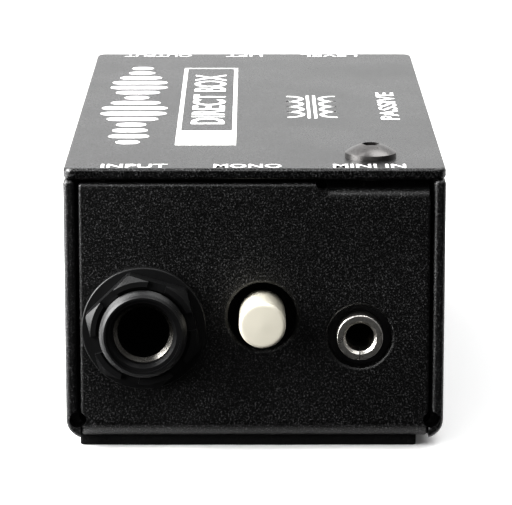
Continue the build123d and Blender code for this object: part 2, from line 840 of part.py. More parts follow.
def make_knob_pointer():
    return at_panel(REAR, level_x, level_z) * (pointer_groove(0) & knob_blank())


# ---------------------------------------------------------------- transformer

def core_bottom():
    return board_top + core_lift


def transformer_lead_places():
    steps = (-transformer_lead_pitch, 0, transformer_lead_pitch)
    reach = bobbin_half_depth - transformer_lead_inset
    return [(transformer_x + step, transformer_y + row * reach) for row in (-1, 1) for step in steps]


def window_half_width():
    return core_width / 2 - core_limb


def make_transformer_core():
    """Stack of laminations with a window each side of its middle limb."""
    low = core_bottom()
    y_range = (transformer_y - core_depth / 2, transformer_y + core_depth / 2)
    half = core_width / 2
    core = block((transformer_x - half, transformer_x + half), y_range, (low, low + core_height))
    for hand in (-1, 1):
        x_range = sorted((transformer_x + hand * core_limb, transformer_x + hand * window_half_width()))
        core -= block(x_range, y_range, (low + core_limb, low + core_height - core_limb))
    return core


def limb_box(margin, low, high):
    """Box round the middle limb with a margin on its four sides."""
    x_half = core_limb + margin
    y_half = core_depth / 2 + margin
    return block((transformer_x - x_half, transformer_x + x_half),
                 (transformer_y - y_half, transformer_y + y_half), (low, high))


def bobbin_levels():
    """Lower and upper ends of the bobbin inside the core's windows."""
    low = core_bottom() + core_limb + press_clearance
    high = core_bottom() + core_height - core_limb - press_clearance
    return low, high


def make_transformer_bobbin():
    low, high = bobbin_levels()
    x_half = window_half_width() - press_clearance
    x_range = (transformer_x - x_half, transformer_x + x_half)
    y_range = (transformer_y - bobbin_half_depth, transformer_y + bobbin_half_depth)
    body = limb_box(press_clearance + bobbin_wall, low, high)
    body += block(x_range, y_range, (low, low + bobbin_wall))
    body += block(x_range, y_range, (high - bobbin_wall, high))
    for side in (-1, 1):
        near = transformer_y + side * (core_depth / 2 + press_clearance)
        far = transformer_y + side * bobbin_half_depth
        body += block(x_range, sorted((near, far)), (board_top, low + bobbin_wall))
    body -= limb_box(press_clearance, low, high)
    for x, y in transformer_lead_places():
        body -= post(lead_radius + press_clearance, x, y, board_top, board_top + core_limb)
    return body


def make_transformer_winding():
    low, high = bobbin_levels()
    low += bobbin_wall + press_clearance
    high -= bobbin_wall + press_clearance
    x_half = window_half_width() - winding_inset
    y_half = bobbin_half_depth - winding_inset
    coil = block((transformer_x - x_half, transformer_x + x_half),
                 (transformer_y - y_half, transformer_y + y_half), (low, high))
    coil = fillet(coil.edges().filter_by(Axis.Z), winding_inset * 3)
    return coil - limb_box(2 * press_clearance + bobbin_wall, low, high)


def make_transformer_leads():
    places = transformer_lead_places()
    return group(post(lead_radius, x, y, lead_bottom, board_top + core_limb) for x, y in places)


def make_transformer_bracket():
    """Strap over the core with a foot on the board at each side."""
    top = core_bottom() + core_height + press_clearance
    inner = core_width / 2 + press_clearance
    outer = inner + bracket_sheet
    y_range = (transformer_y - core_depth / 2, transformer_y + core_depth / 2)
    strap = block((transformer_x - outer, transformer_x + outer), y_range, (board_top, top + bracket_sheet))
    strap -= block((transformer_x - inner, transformer_x + inner), y_range, (board_top, top))
    for hand in (-1, 1):
        x_range = sorted((transformer_x + hand * inner, transformer_x + hand * (outer + bracket_foot)))
        strap += block(x_range, y_range, (board_top, board_top + bracket_sheet))
    return strap


# ---------------------------------------------------------------- boards and small parts

def resistor_lines():
    """Front-to-back position of each resistor."""
    start = -half_length + resistor_from_front
    return [start + step * resistor_pitch for step in range(resistor_count)]


def resistor_lead_places():
    reach = resistor_reach / 2
    return [(small_parts_x + hand * reach, y) for y in resistor_lines() for hand in (-1, 1)]


def make_resistor(y):
    """Resistor lying above the board with its leads bent down at each end."""
    axis_z = board_top + resistor_radius + lead_clearance
    lying = Pos(small_parts_x, y, axis_z) * Rot(0, 90, 0)
    body = lying * Cylinder(resistor_radius, resistor_length)
    body = fillet(body.edges(), resistor_radius / 2)
    wire = lying * Cylinder(lead_radius, resistor_reach)
    reach = resistor_reach / 2
    legs = [post(lead_radius, small_parts_x + hand * reach, y, lead_bottom, axis_z) for hand in (-1, 1)]
    return body + wire + legs[0] + legs[1]


def make_resistors():
    return group(make_resistor(y) for y in resistor_lines())


def capacitor_lines():
    return [capacitor_y + step * capacitor_pitch for step in range(capacitor_count)]


def capacitor_lead_places():
    reach = capacitor_lead_reach / 2
    return [(small_parts_x + hand * reach, y) for y in capacitor_lines() for hand in (-1, 1)]


def make_capacitor(y):
    """Boxed film capacitor standing on the board."""
    half = capacitor_width / 2
    x_range = (small_parts_x - half, small_parts_x + half)
    y_range = (y - capacitor_depth / 2, y + capacitor_depth / 2)
    body = block(x_range, y_range, (board_top, board_top + capacitor_height))
    body = fillet(body.edges().group_by(Axis.Z)[-1], edge_round)
    reach = capacitor_lead_reach / 2
    for hand in (-1, 1):
        body += post(lead_radius, small_parts_x + hand * reach, y, lead_bottom, board_top + edge_round)
    return body


def make_capacitors():
    return group(make_capacitor(y) for y in capacitor_lines())


def wire_lines():
    """Sideways position of each link wire."""
    return [(step - (wire_count - 1) / 2) * wire_pitch for step in range(wire_count)]


def make_link_wire(x):
    """Insulated wire that arches from one board to the other."""
    y_start = front_board_edge - wire_from_edge
    y_end = rear_board_edge + wire_from_edge
    shoulder = board_top + wire_rise
    radius = (y_end - y_start) / 2
    rise = Line((x, y_start, lead_bottom), (x, y_start, shoulder))
    crown = (x, y_start + radius, shoulder + radius)
    arch = ThreePointArc((x, y_start, shoulder), crown, (x, y_end, shoulder))
    fall = Line((x, y_end, shoulder), (x, y_end, lead_bottom))
    section = Plane(origin=(x, y_start, lead_bottom), z_dir=(0, 0, 1)) * Circle(wire_radius)
    return sweep(section, path=rise + arch + fall)


def make_link_wires():
    return group(make_link_wire(x) for x in wire_lines())


def drilled_board(y_range, lead_places, wire_y):
    """Board with a hole for every lead and link wire."""
    board = block((-board_half, board_half), y_range, (board_underside, board_top))
    for x, y in lead_places:
        board -= post(lead_radius + lead_clearance, x, y, board_underside, board_top)
    for x in wire_lines():
        board -= post(wire_radius + lead_clearance, x, wire_y, board_underside, board_top)
    return board


def make_front_board():
    places = jack_lead_places(FRONT, (-1, 1)) + mini_lead_places() + switch_lead_places(FRONT, mono_x)
    places += transformer_lead_places() + resistor_lead_places() + capacitor_lead_places()
    board = drilled_board((-board_end, front_board_edge), places, front_board_edge - wire_from_edge)
    for x in (-board_screw_x, board_screw_x):
        board -= post(board_screw_radius + hole_clearance, x, board_screw_y, board_underside, board_top)
    return board


def make_rear_board():
    places = jack_lead_places(REAR, (1,)) + switch_lead_places(REAR, lift_x) + level_lead_places()
    return drilled_board((rear_board_edge, board_end), places, rear_board_edge + wire_from_edge)


def make_standoffs():
    """Two threaded pillars pressed into the tray floor."""
    pillars = []
    for x in (-board_screw_x, board_screw_x):
        pillar = post(standoff_radius, x, board_screw_y, floor_top, board_underside)
        pillar += post(standoff_shank_radius, x, board_screw_y, tray_underside, floor_top)
        bore = board_screw_radius + thread_clearance
        pillars.append(pillar - post(bore, x, board_screw_y, tray_underside, board_underside))
    return group(pillars)


def make_board_screws():
    """Two slotted cheese-head screws."""
    screws = []
    for x in (-board_screw_x, board_screw_x):
        head_top = board_top + board_screw_head_height
        head = post(board_screw_head_radius, x, board_screw_y, board_top, head_top)
        head = fillet(head.edges().group_by(Axis.Z)[-1], board_screw_slot / 2)
        slot_half = board_screw_slot / 2
        reach = board_screw_head_radius
        head -= block((x - reach, x + reach), (board_screw_y - slot_half, board_screw_y + slot_half),
                      (head_top - board_screw_slot, head_top))
        shank = post(board_screw_radius, x, board_screw_y, board_top - board_screw_length, board_top)
        screws.append(head + shank)
    return group(screws)


pieces = {
    "chassis_tray": make_chassis_tray(),
    "top_cover": make_top_cover(),
    "cover_hook": make_cover_hook(),
    "cover_screw": make_cover_screw(),
    "cover_nut": make_cover_nut(),
    "base_pad": make_base_pad(),
    "input_jack_housing": make_jack_housing(FRONT, (-1, 1)),
    "input_jack_washer": make_jack_washer(FRONT),
    "input_jack_nut": make_jack_nut(FRONT),
    "input_sleeve_bush": make_sleeve_bush(FRONT),
    "input_tip_contact": make_leaf_contact(FRONT, 1, tip_leaf),
    "input_ring_contact": make_leaf_contact(FRONT, -1, ring_leaf),
    "mini_jack_housing": make_mini_jack_housing(),
    "mini_jack_ferrule": make_mini_ferrule(),
    "mini_jack_contacts": make_mini_contacts(),
    "mono_switch_housing": make_switch_housing(FRONT, mono_x),
    "mono_switch_leads": make_switch_leads(FRONT, mono_x),
    "mono_button_cap": make_button_cap(FRONT, mono_x),
    "mono_plunger": make_plunger(FRONT, mono_x),
    "mono_return_spring": make_return_spring(FRONT, mono_x),
    "output_jack_housing": make_jack_housing(REAR, (1,)),
    "output_jack_washer": make_jack_washer(REAR),
    "output_jack_nut": make_jack_nut(REAR),
    "output_sleeve_bush": make_sleeve_bush(REAR),
    "output_tip_contact": make_leaf_contact(REAR, 1, tip_leaf),
    "lift_switch_housing": make_switch_housing(REAR, lift_x),
    "lift_switch_leads": make_switch_leads(REAR, lift_x),
    "lift_button_cap": make_button_cap(REAR, lift_x),
    "lift_plunger": make_plunger(REAR, lift_x),
    "lift_return_spring": make_return_spring(REAR, lift_x),
    "level_control_body": make_level_body(),
    "level_bushing": make_level_bushing(),
    "level_washer": make_level_washer(),
    "level_nut": make_level_nut(),
    "level_leads": make_level_leads(),
    "level_track": make_level_track(),
    "level_shaft": make_level_shaft(),
    "level_wiper": make_level_wiper(),
    "level_knob": make_level_knob(),
    "knob_pointer": make_knob_pointer(),
    "transformer_core": make_transformer_core(),
    "transformer_bobbin": make_transformer_bobbin(),
    "transformer_winding": make_transformer_winding(),
    "transformer_leads": make_transformer_leads(),
    "transformer_bracket": make_transformer_bracket(),
    "front_board": make_front_board(),
    "rear_board": make_rear_board(),
    "board_standoffs": make_standoffs(),
    "board_screws": make_board_screws(),
    "resistors": make_resistors(),
    "film_capacitors": make_capacitors(),
    "link_wires": make_link_wires(),
}

os.makedirs("parts", exist_ok=True)
for name, piece in pieces.items():
    export_step(piece, f"parts/{name}.step")
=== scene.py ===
import json
import logging
import math
from dataclasses import dataclass, field
from enum import Enum
from typing import Any, Optional, Sequence, Union

import bpy
import numpy as np
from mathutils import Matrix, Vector


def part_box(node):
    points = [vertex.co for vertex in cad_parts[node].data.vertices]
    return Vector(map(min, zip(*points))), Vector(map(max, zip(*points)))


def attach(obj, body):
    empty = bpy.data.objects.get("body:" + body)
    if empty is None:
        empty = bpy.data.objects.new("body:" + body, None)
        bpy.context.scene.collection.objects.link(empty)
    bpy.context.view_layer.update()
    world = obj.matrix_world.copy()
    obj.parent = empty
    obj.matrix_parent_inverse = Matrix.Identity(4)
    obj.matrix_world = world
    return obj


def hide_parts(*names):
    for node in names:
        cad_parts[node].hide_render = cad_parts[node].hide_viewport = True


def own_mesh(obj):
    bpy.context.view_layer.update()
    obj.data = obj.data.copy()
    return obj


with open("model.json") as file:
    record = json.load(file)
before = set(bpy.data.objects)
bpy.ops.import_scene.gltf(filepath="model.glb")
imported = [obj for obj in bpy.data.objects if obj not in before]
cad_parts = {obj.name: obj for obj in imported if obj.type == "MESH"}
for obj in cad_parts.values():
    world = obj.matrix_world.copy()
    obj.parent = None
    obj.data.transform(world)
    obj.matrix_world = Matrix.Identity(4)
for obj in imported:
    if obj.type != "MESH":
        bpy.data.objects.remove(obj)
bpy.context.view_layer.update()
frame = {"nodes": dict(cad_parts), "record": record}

log = logging.getLogger("direct_box")

MM = 0.001
Number = Union[int, float, "Value"]
Colour = tuple[float, float, float]
Grid = np.ndarray


# ------------------------------------------------------------------ shader maths

class Value:
    """A number on a shader socket. Python's operators on it add Math nodes."""

    def __init__(self, graph: "Graph", socket: bpy.types.NodeSocket) -> None:
        """Wrap one output socket of a graph."""
        self.graph = graph
        self.socket = socket

    def _math(self, operation: str, first: Number, second: Number) -> "Value":
        """Add one Math node.

        Args:
            operation: the Math node's operation.
            first: left-hand side.
            second: right-hand side.

        Returns:
            The node's result.
        """
        return self.graph.node("ShaderNodeMath", {"operation": operation}, {0: first, 1: second})

    def __add__(self, other: Number) -> "Value":
        """Sum."""
        return self._math("ADD", self, other)

    def __radd__(self, other: Number) -> "Value":
        """Sum with a plain number on the left."""
        return self._math("ADD", other, self)

    def __sub__(self, other: Number) -> "Value":
        """Difference."""
        return self._math("SUBTRACT", self, other)

    def __rsub__(self, other: Number) -> "Value":
        """Difference from a plain number."""
        return self._math("SUBTRACT", other, self)

    def __mul__(self, other: Number) -> "Value":
        """Product."""
        return self._math("MULTIPLY", self, other)

    def __rmul__(self, other: Number) -> "Value":
        """Product with a plain number on the left."""
        return self._math("MULTIPLY", other, self)

    def ramp(self, low: float, high: float) -> "Value":
        """Rise smoothly from 0 at low to 1 at high.

        Args:
            low: where the result is still 0.
            high: where the result has reached 1.

        Returns:
            The eased share.
        """
        settings = {"interpolation_type": "SMOOTHSTEP"}
        return self.graph.node("ShaderNodeMapRange", settings, {"Value": self, "From Min": low, "From Max": high})


class Graph:
    """A node tree and the ways that nodes are added to it."""

    def __init__(self, tree: bpy.types.NodeTree) -> None:
        """Take over a tree and empty it."""
        self.tree = tree
        self.tree.nodes.clear()

    def node(self, kind: str, settings: dict[str, Any], inputs: dict[Any, Any],
             output: Union[int, str] = 0) -> Value:
        """Add any node.

        Args:
            kind: the node's type.
            settings: properties that are set first, such as an operation.
            inputs: values or links by socket name or number.
            output: the output socket wanted.

        Returns:
            That output, wrapped.
        """
        made = self.tree.nodes.new(kind)
        for key, value in settings.items():
            setattr(made, key, value)
        for key, value in inputs.items():
            self.feed(made.inputs[key], value)
        return Value(self, made.outputs[output])

    def feed(self, socket: bpy.types.NodeSocket, value: Any) -> None:
        """Link a wrapped value to a socket, or set the socket to a constant.

        Args:
            socket: the input to feed.
            value: a wrapped value, a number or a colour.
        """
        if isinstance(value, Value):
            self.tree.links.new(value.socket, socket)
            return
        if isinstance(value, tuple) and socket.type == "RGBA":
            value = (*value, 1.0)
        socket.default_value = value

    def mix(self, share: Number, first: Any, second: Any) -> Value:
        """Blend two colours.

        Args:
            share: how much of the second.
            first: colour at 0.
            second: colour at 1.

        Returns:
            The blended colour.
        """
        made = self.tree.nodes.new("ShaderNodeMix")
        made.data_type = "RGBA"
        self.feed(made.inputs[0], share)
        self.feed(made.inputs[6], first)
        self.feed(made.inputs[7], second)
        return Value(self, made.outputs[2])


class Shader(Graph):
    """One node material, built from its principled shader outwards."""

    def __init__(self, name: str) -> None:
        """Start an empty material with a principled shader."""
        self.material = bpy.data.materials.new(name)
        self.material.use_nodes = True
        super().__init__(self.material.node_tree)
        self.output = self.tree.nodes.new("ShaderNodeOutputMaterial")
        self.principled = self.tree.nodes.new("ShaderNodeBsdfPrincipled")
        self.tree.links.new(self.principled.outputs["BSDF"], self.output.inputs["Surface"])
        self.place = self.node("ShaderNodeTexCoord", {}, {}, "Object")

    def noise(self, per_metre: float, detail: float = 2.0, rough: float = 0.5,
              stretch: tuple[float, float, float] = (1.0, 1.0, 1.0)) -> Value:
        """Fractal noise on object coordinates.

        Args:
            per_metre: lumps per metre.
            detail: octaves.
            rough: weight of the finer octaves.
            stretch: scale along each axis.

        Returns:
            Noise from 0 to 1.
        """
        place = self.node("ShaderNodeMapping", {}, {"Vector": self.place, "Scale": stretch})
        inputs = {"Vector": place, "Scale": per_metre, "Detail": detail, "Roughness": rough}
        return self.node("ShaderNodeTexNoise", {}, inputs, "Fac")

    def cells(self, per_metre: float) -> Value:
        """Distance to the nearest of many scattered points on object coordinates.

        Args:
            per_metre: cells per metre.

        Returns:
            Distance in cell sizes.
        """
        return self.node("ShaderNodeTexVoronoi", {}, {"Vector": self.place, "Scale": per_metre}, "Distance")

    def axis(self, name: str) -> Value:
        """One of the object coordinates, in metres."""
        return self.node("ShaderNodeSeparateXYZ", {}, {0: self.place}, name)

    def bump(self, height: Value, strength: float, depth: float, under: Optional[Value] = None) -> Value:
        """Turn a height into a surface normal.

        Args:
            height: height from 0 to 1.
            strength: share of the effect.
            depth: real depth in metres.
            under: a coarser normal that this one lies on.

        Returns:
            The normal.
        """
        inputs: dict[str, Any] = {"Height": height, "Strength": strength, "Distance": depth}
        if under is not None:
            inputs["Normal"] = under
        return self.node("ShaderNodeBump", {}, inputs, "Normal")

    def surface(self, **values: Any) -> bpy.types.Material:
        """Set the principled shader's sockets by name, with _ for a space.

        Args:
            **values: constants, or wrapped values where the surface varies.

        Returns:
            The finished material.
        """
        for name, value in values.items():
            self.feed(self.principled.inputs[name.replace("_", " ")], value)
        return self.material


# ------------------------------------------------------------------ finishes

@dataclass(frozen=True)
class PowderCoat:
    """Fine-grained black powder coat."""

    name: str
    colour: Colour = (0.0015, 0.0015, 0.0016)
    fleck_colour: Colour = (0.125, 0.125, 0.127)
    grain_per_metre: float = 4400.0
    grain_depth: float = 0.00007
    grains_per_ripple: float = 5.0
    clouds_per_metre: float = 90.0
    roughness: float = 0.36
    gloss: float = 0.75

    def make(self) -> bpy.types.Material:
        """Build the material.

        Returns:
            Speckled, satin black with an orange-peel bump.
        """
        shader = Shader(self.name)
        grain = shader.noise(self.grain_per_metre, 3.0, 0.7)
        peel = shader.noise(self.grain_per_metre / self.grains_per_ripple, 1.0)
        clouds = shader.noise(self.clouds_per_metre, 2.0)
        fleck = grain.ramp(0.5, 0.74) * (0.55 + clouds * 0.9)
        colour = shader.mix(fleck, self.colour, self.fleck_colour)
        normal = shader.bump(peel, 0.3, self.grain_depth)
        normal = shader.bump(grain, 0.9, self.grain_depth, normal)
        rough = self.roughness + (grain - 0.5) * 0.3 + (clouds - 0.5) * 0.1
        return shader.surface(Base_Color=colour, Roughness=rough, Normal=normal, Specular_IOR_Level=self.gloss)


@dataclass(frozen=True)
class MouldedPlastic:
    """Moulded plastic with a faint flow texture and fine surface scatter."""

    name: str
    colour: Colour
    roughness: float = 0.38
    grain_per_metre: float = 3000.0
    grain_depth: float = 0.000012
    tone: float = 0.12
    coat: float = 0.0
    flow_per_metre: float = 260.0
    coat_roughness: float = 0.12

    def make(self) -> bpy.types.Material:
        """Build the material.

        Returns:
            Plastic with slight tone and gloss variation.
        """
        shader = Shader(self.name)
        grain = shader.noise(self.grain_per_metre, 2.0, 0.6)
        flow = shader.noise(self.flow_per_metre, 3.0, 0.55, (1.0, 0.35, 1.0))
        dark = tuple((1 - self.tone) * part for part in self.colour)
        colour = shader.mix(flow, dark, tuple(min(1.0, (1 + self.tone) * part) for part in self.colour))
        rough = self.roughness + (flow - 0.5) * 0.16 + (grain - 0.5) * 0.1
        normal = shader.bump(grain, 0.4, self.grain_depth)
        return shader.surface(Base_Color=colour, Roughness=rough, Normal=normal, Coat_Weight=self.coat,
                              Coat_Roughness=self.coat_roughness)


@dataclass(frozen=True)
class PlatedMetal:
    """Plated or bare metal with tool marks and light tarnish."""

    name: str
    colour: Colour
    roughness: float = 0.2
    grain_per_metre: float = 5200.0
    grain_depth: float = 0.000018
    tarnish: float = 0.35
    stains_per_metre: float = 700.0

    def make(self) -> bpy.types.Material:
        """Build the material.

        Returns:
            Metal whose gloss and tone vary with fine pits.
        """
        shader = Shader(self.name)
        pits = shader.noise(self.grain_per_metre, 3.0, 0.7)
        stain = shader.noise(self.stains_per_metre, 3.0, 0.6)
        dull = tuple((1 - self.tarnish) * part for part in self.colour)
        colour = shader.mix(stain.ramp(0.35, 0.7) * 0.6 + pits.ramp(0.5, 0.75) * 0.4, self.colour, dull)
        rough = self.roughness + (stain - 0.4) * 0.25 + (pits - 0.5) * 0.25
        normal = shader.bump(pits, 0.5, self.grain_depth)
        return shader.surface(Base_Color=colour, Metallic=1.0, Roughness=rough, Normal=normal)


@dataclass(frozen=True)
class BlackOxide:
    """Oil-blacked steel: dark, with a grey sheen and lighter wear where it is handled."""

    name: str = "black_oxide_finish"
    colour: Colour = (0.15, 0.146, 0.144)
    worn: Colour = (0.34, 0.335, 0.33)
    grain_per_metre: float = 4200.0
    grain_depth: float = 0.00002
    wear_per_metre: float = 900.0
    roughness: float = 0.3
    metallic: float = 0.85

    def make(self) -> bpy.types.Material:
        """Build the material.

        Returns:
            Satin blackened steel.
        """
        shader = Shader(self.name)
        grain = shader.noise(self.grain_per_metre, 3.0, 0.65)
        wear = shader.noise(self.wear_per_metre, 4.0, 0.6).ramp(0.5, 0.75)
        colour = shader.mix(wear * 0.3 + grain.ramp(0.6, 0.8) * 0.4, self.colour, self.worn)
        rough = self.roughness + (grain - 0.5) * 0.2 + wear * 0.12
        normal = shader.bump(grain, 0.5, self.grain_depth)
        return shader.surface(Base_Color=colour, Metallic=self.metallic, Roughness=rough, Normal=normal)


@dataclass(frozen=True)
class CellularRubber:
    """Cut sheet rubber with a fine open grain and pale dust in it."""

    name: str = "base_rubber_finish"
    colour: Colour = (0.005, 0.005, 0.0052)
    dust: Colour = (0.05, 0.05, 0.051)
    grain_per_metre: float = 3800.0
    pores_per_metre: float = 2600.0
    pore_depth: float = 0.00012
    roughness: float = 0.85
    gloss: float = 0.25

    def make(self) -> bpy.types.Material:
        """Build the material.

        Returns:
            Matt black rubber with speckles.
        """
        shader = Shader(self.name)
        grain = shader.noise(self.grain_per_metre, 4.0, 0.75)
        pores = shader.cells(self.pores_per_metre)
        colour = shader.mix(grain.ramp(0.6, 0.76), self.colour, self.dust)
        normal = shader.bump(pores.ramp(0.0, 0.55) * 0.6 + grain * 0.4, 0.9, self.pore_depth)
        return shader.surface(Base_Color=colour, Roughness=self.roughness + (grain - 0.5) * 0.3, Normal=normal,
                              Specular_IOR_Level=self.gloss)


@dataclass(frozen=True)
class ScreenInk:
    """White screen-print ink, slightly thin so that the coat's grain shows through."""

    name: str = "white_print_finish"
    colour: Colour = (0.93, 0.93, 0.92)
    pinhole: Colour = (0.5, 0.5, 0.5)
    grain_per_metre: float = 4600.0
    grain_depth: float = 0.00003
    roughness: float = 0.5

    def make(self) -> bpy.types.Material:
        """Build the material.

        Returns:
            Off-white ink with fine pinholes.
        """
        shader = Shader(self.name)
        grain = shader.noise(self.grain_per_metre, 3.0, 0.65)
        colour = shader.mix(grain.ramp(0.66, 0.82) * 0.45, self.colour, self.pinhole)
        normal = shader.bump(grain, 0.4, self.grain_depth)
        return shader.surface(Base_Color=colour, Roughness=self.roughness + (grain - 0.5) * 0.2, Normal=normal)


@dataclass(frozen=True)
class WovenBoard:
    """Solder-masked board with the glass weave faintly under the mask."""

    name: str = "green_board_finish"
    colour: Colour = (0.012, 0.085, 0.035)
    lighter: float = 1.6
    threads_scale: float = 900.0
    thread_depth: float = 0.00003
    roughness: float = 0.3

    def make(self) -> bpy.types.Material:
        """Build the material.

        Returns:
            Green mask over a woven ground.
        """
        shader = Shader(self.name)
        inputs = {"Vector": shader.place, "Scale": self.threads_scale}
        across = shader.node("ShaderNodeTexWave", {"bands_direction": "X"}, inputs)
        along = shader.node("ShaderNodeTexWave", {"bands_direction": "Y"}, inputs)
        weave = across * along
        colour = shader.mix(weave, self.colour, tuple(self.lighter * part for part in self.colour))
        return shader.surface(Base_Color=colour, Roughness=self.roughness + weave * 0.15,
                              Normal=shader.bump(weave, 0.2, self.thread_depth))


@dataclass(frozen=True)
class BandedSurface:
    """Fine bands along one axis, as on stacked laminations, wound tape or lacquered bodies."""

    name: str
    colour: Colour
    band_colour: Colour
    axis: str
    bands_per_metre: float
    metallic: float = 0.0
    roughness: float = 0.45
    band_depth: float = 0.00006
    stains_per_metre: float = 900.0

    def make(self) -> bpy.types.Material:
        """Build the material.

        Returns:
            Banded surface with a shallow bump at each band.
        """
        shader = Shader(self.name)
        phase = shader.axis(self.axis) * (self.bands_per_metre * math.tau)
        wave = shader.node("ShaderNodeMath", {"operation": "SINE"}, {0: phase}) * 0.5 + 0.5
        stain = shader.noise(self.stains_per_metre, 3.0)
        colour = shader.mix(wave.ramp(0.25, 0.8) * 0.8 + stain * 0.2, self.colour, self.band_colour)
        return shader.surface(Base_Color=colour, Metallic=self.metallic, Roughness=self.roughness + (stain - 0.5) * 0.2,
                              Normal=shader.bump(wave, 0.35, self.band_depth))


class Finish(Enum):
    """Every finish on the box, by the part of it that wears it."""

    CASE = PowderCoat("case_powder_coat")
    COVER = PowderCoat("cover_powder_coat", grain_depth=0.00002, roughness=0.3)
    INK = ScreenInk()
    SCREW = BlackOxide()
    RUBBER = CellularRubber()
    JACK_PLASTIC = MouldedPlastic("jack_plastic", (0.012, 0.012, 0.0125), 0.36, 5200.0, 0.00003, 0.25)
    NUT_PLASTIC = MouldedPlastic("nut_plastic", (0.016, 0.016, 0.0165), 0.33, 4200.0, 0.000016, 0.2)
    INNER_PLASTIC = MouldedPlastic("inner_plastic", (0.03, 0.03, 0.032), 0.45)
    PLUNGER_PLASTIC = MouldedPlastic("plunger_plastic", (0.3, 0.3, 0.31), 0.4)
    IVORY = MouldedPlastic("ivory_cap", (0.72, 0.69, 0.595), 0.34, 2600.0, 0.00001, 0.035, 0.25)
    KNOB = MouldedPlastic("knob_plastic_finish", (0.014, 0.014, 0.0145), 0.42, 3600.0, 0.00002, 0.2)
    POINTER = MouldedPlastic("pointer_line", (0.86, 0.86, 0.84), 0.45, 3000.0, 0.00001, 0.05)
    # Sleeve bush: nickel darkened far below bright_nickel as painted shade, standing in for the shadow inside the
    # jack's mouth
    BUSH = PlatedMetal("nickel_with_painted_shade", (0.34, 0.33, 0.31), 0.22, tarnish=0.4)
    NICKEL = PlatedMetal("bright_nickel", (0.8, 0.775, 0.73), 0.16, tarnish=0.3)
    FERRULE = PlatedMetal("struck_nickel", (0.84, 0.82, 0.78), 0.3, 3600.0, 0.00008, 0.5)
    ZINC = PlatedMetal("bright_zinc", (0.66, 0.67, 0.68), 0.32)
    BRONZE = PlatedMetal("contact_metal", (0.74, 0.6, 0.42), 0.25)
    TIN = PlatedMetal("tinned_copper", (0.72, 0.72, 0.71), 0.3)
    SPRING = PlatedMetal("spring_wire", (0.5, 0.5, 0.52), 0.25)
    BOARD = WovenBoard()
    CORE = BandedSurface("lamination_stack", (0.28, 0.28, 0.29), (0.13, 0.13, 0.135), "Y", 1400.0, 0.8, 0.4)
    WINDING = BandedSurface("winding_tape_finish", (0.62, 0.42, 0.03), (0.5, 0.32, 0.02), "Z", 320.0)
    RESISTOR = BandedSurface("resistor_lacquer", (0.13, 0.34, 0.52), (0.08, 0.2, 0.33), "X", 380.0, 0.0, 0.3)
    CAPACITOR = MouldedPlastic("capacitor_box", (0.5, 0.06, 0.04), 0.3)
    WIRE = MouldedPlastic("wire_sleeve", (0.42, 0.03, 0.025), 0.4)
    TRACK = MouldedPlastic("carbon_film", (0.012, 0.012, 0.012), 0.6)

    def material(self) -> bpy.types.Material:
        """The finish's material, made once and then shared."""
        found = bpy.data.materials.get(self.value.name)
        return found if found is not None else self.value.make()


# ------------------------------------------------------------------ surfaces

def mesh_from_grid(name: str, points: Grid, around: bool, caps: bool = False) -> bpy.types.Object:
    """Make one mesh from a grid of points.

    Args:
        name: the piece's name.
        points: array of rows by columns by 3, in metres. A column index runs around the surface.
        around: whether the last column joins the first.
        caps: whether the first and last rows are closed with one face each.

    Returns:
        An object at the origin with smooth faces that point outwards.
    """
    rows, columns = points.shape[:2]
    span = columns if around else columns - 1
    row, column = np.meshgrid(np.arange(rows - 1), np.arange(span), indexing="ij")
    after = (column + 1) % columns
    quads = np.stack([row * columns + column, row * columns + after,
                      (row + 1) * columns + after, (row + 1) * columns + column], axis=-1).reshape(-1, 4)
    faces = quads.tolist()
    if caps:
        faces.append(list(range(columns))[::-1])
        faces.append([(rows - 1) * columns + index for index in range(columns)])
    mesh = bpy.data.meshes.new(name)
    mesh.from_pydata(points.reshape(-1, 3).tolist(), [], faces)
    mesh.polygons.foreach_set("use_smooth", np.ones(len(mesh.polygons), bool))
    mesh.update()
    piece = bpy.data.objects.new(name, mesh)
    bpy.context.scene.collection.objects.link(piece)
    return piece


def rounded_outline(corners: Sequence[tuple[float, float]], radii: Sequence[float], steps: int = 6) -> np.ndarray:
    """Polyline through a profile's corners, each turned by a quarter-like arc.

    Each arc is a quadratic curve from a point short of the corner to a point past it, with the corner as its handle.

    Args:
        corners: profile points as (radius, height) pairs, in metres.
        radii: how far before and after each corner its arc starts, 0 for a sharp one.
        steps: points in each arc.

    Returns:
        Array of points, two columns.
    """
    line = []
    last = len(corners) - 1
    for index, (corner, radius) in enumerate(zip(corners, radii)):
        point = np.array(corner, float)
        if radius <= 0 or index in (0, last):
            line.append(point)
            continue
        back = np.array(corners[index - 1]) - point
        ahead = np.array(corners[index + 1]) - point
        start = point + back / np.linalg.norm(back) * radius
        end = point + ahead / np.linalg.norm(ahead) * radius
        share = np.linspace(0, 1, steps)[:, None]
        line.extend((1 - share) ** 2 * start + 2 * share * (1 - share) * point + share ** 2 * end)
    return np.array(line)


def turned(profile: np.ndarray, centre: Vector, direction: Vector, segments: int = 96) -> Grid:
    """Surface of revolution: a profile of radius and height, carried round an axis.

    A point at radius r and height h, turned by angle a, is centre + h * axis + r * (cos a * side + sin a * up).

    Args:
        profile: rows of (radius, height) in metres, from the far end to the near one.
        centre: point on the axis at height 0.
        direction: unit vector along the axis.
        segments: columns round the axis.

    Returns:
        Grid of points.
    """
    axis = np.array(direction, float)
    up = np.array((0.0, 0.0, 1.0))
    side = np.cross(up, axis)
    angle = np.linspace(0, math.tau, segments, endpoint=False)
    ring = np.cos(angle)[:, None] * side + np.sin(angle)[:, None] * up
    return (np.array(centre, float) + profile[:, 1, None, None] * axis + profile[:, 0, None, None] * ring[None])


